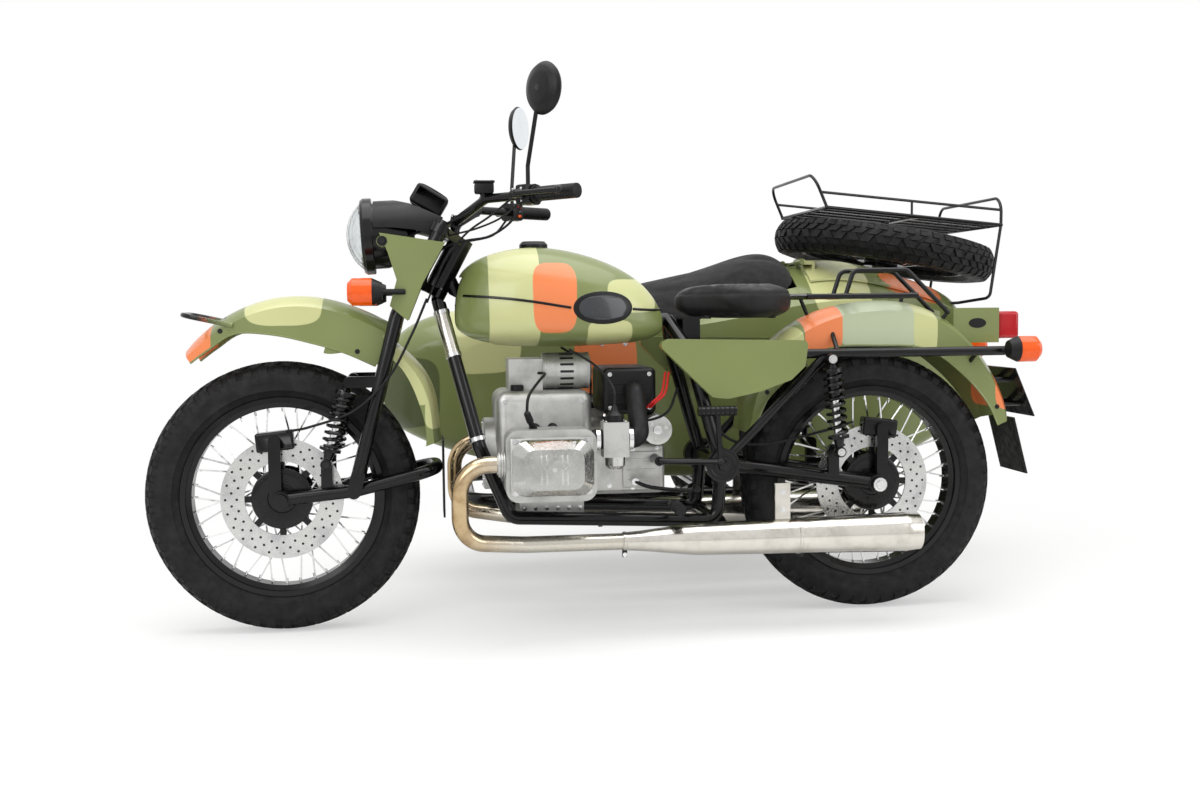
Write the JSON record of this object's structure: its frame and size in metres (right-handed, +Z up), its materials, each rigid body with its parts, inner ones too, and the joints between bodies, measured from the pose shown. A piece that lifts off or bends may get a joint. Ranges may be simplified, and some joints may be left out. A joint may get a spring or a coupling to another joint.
{
  "type": "sidecar motorcycle",
  "caption": "Motorcycle with a closed sidecar; the fork steers, the laced wheels turn, the boot lid lifts with its spare wheel and rack, and the centre stand swings down.",
  "frame": {"origin": "bottom centre of the outfit's bounding box, on the ground", "axes": "+X forwards, +Y to the rider's left, +Z up; the sidecar is on the right, at -Y"},
  "size_m": [2.4571, 1.6477, 1.366],
  "materials": {
    "tyre_rubber": "matt",
    "wheel_black": "satin",
    "camo_paint": "satin",
    "black_paint": "satin",
    "engine_aluminium": "cast",
    "polished_aluminium": "polished",
    "black_plastic": "matt",
    "steel_exhaust": "polished",
    "tinted_header": "heat tinted",
    "clear_lens": "clear",
    "red_lens": "gloss",
    "amber_lens": "gloss",
    "saddle_leather": "satin",
    "cover_fabric": "matt",
    "rubber": "matt"
  },
  "bodies": {
    "chassis": {"airbox": "black_plastic", "alternator_and_starter": "engine_aluminium", "body_mounts": "rubber", "carburettors": "engine_aluminium", "cylinders": "engine_aluminium", "engine_case": "engine_aluminium", "exhaust_headers": "tinted_header", "final_drive": "engine_aluminium", "foot_controls": "black_paint", "fuel_cap": "polished_aluminium", "fuel_tank": "camo_paint", "gearbox": "engine_aluminium", "main_frame": "black_paint", "mufflers": "steel_exhaust", "plate_bracket": "black_paint", "rear_caliper": "black_paint", "rear_carrier": "black_paint", "rear_mudguard": "camo_paint", "rear_shocks": "black_paint", "rear_signals": "amber_lens", "rear_swingarm": "black_paint", "rocker_covers": "polished_aluminium", "saddle": "saddle_leather", "side_panels": "camo_paint", "sidecar_body": "camo_paint", "sidecar_frame": "black_paint", "sidecar_lamps": "amber_lens", "sidecar_mudguard": "camo_paint", "sidecar_swingarm": "black_paint", "tail_lamp_housing": "camo_paint", "tail_lamp_lens": "red_lens", "tonneau_cover": "cover_fabric"},
    "steering": {"fork": "black_paint", "leading_link": "black_paint", "front_shocks": "black_paint", "front_caliper": "black_paint", "headlamp_bucket": "black_paint", "headlamp_lens": "clear_lens", "headlamp_ears": "camo_paint", "instrument_cowl": "black_plastic", "front_signals": "amber_lens", "handlebar": "black_paint", "mirrors": "black_plastic", "front_mudguard": "camo_paint", "front_mudguard_rear_half": "camo_paint"},
    "front_wheel_set": {"front_tyre": "tyre_rubber", "front_wheel": "wheel_black"},
    "rear_wheel_set": {"rear_tyre": "tyre_rubber", "rear_wheel": "wheel_black"},
    "sidecar_wheel_set": {"sidecar_tyre": "tyre_rubber", "sidecar_wheel": "wheel_black"},
    "boot_lid": {"trunk_lid": "camo_paint", "spare_tyre": "tyre_rubber", "spare_wheel_rim": "wheel_black", "luggage_rack": "black_paint"},
    "stand": {"centre_stand": "black_paint"}
  },
  "joints": [
    {"name": "steering_turn", "type": "hinge", "parent": "chassis", "child": "steering", "pos_m": [0.50824, 0.40014, 0.838], "axis": [-0.4695, 0, 0.8829], "range_deg": [-30, 30]},
    {"name": "front_wheel_spin", "type": "hinge", "parent": "steering", "child": "front_wheel_set", "pos_m": [0.88855, 0.40014, 0.34], "axis": [0, 1, 0], "continuous": true},
    {"name": "rear_wheel_spin", "type": "hinge", "parent": "chassis", "child": "rear_wheel_set", "pos_m": [-0.62645, 0.40014, 0.34], "axis": [0, 1, 0], "continuous": true},
    {"name": "sidecar_wheel_spin", "type": "hinge", "parent": "chassis", "child": "sidecar_wheel_set", "pos_m": [-0.62645, -0.73986, 0.34], "axis": [0, 1, 0], "continuous": true},
    {"name": "boot_lid_lift", "type": "hinge", "parent": "chassis", "child": "boot_lid", "pos_m": [-0.59145, -0.21186, 0.934], "axis": [0, 1, 0], "range_deg": [0, 32]},
    {"name": "centre_stand_swing", "type": "hinge", "parent": "chassis", "child": "stand", "pos_m": [-0.22245, 0.40014, 0.222], "axis": [0, -1, 0], "range_deg": [0, 78]}
  ]
}
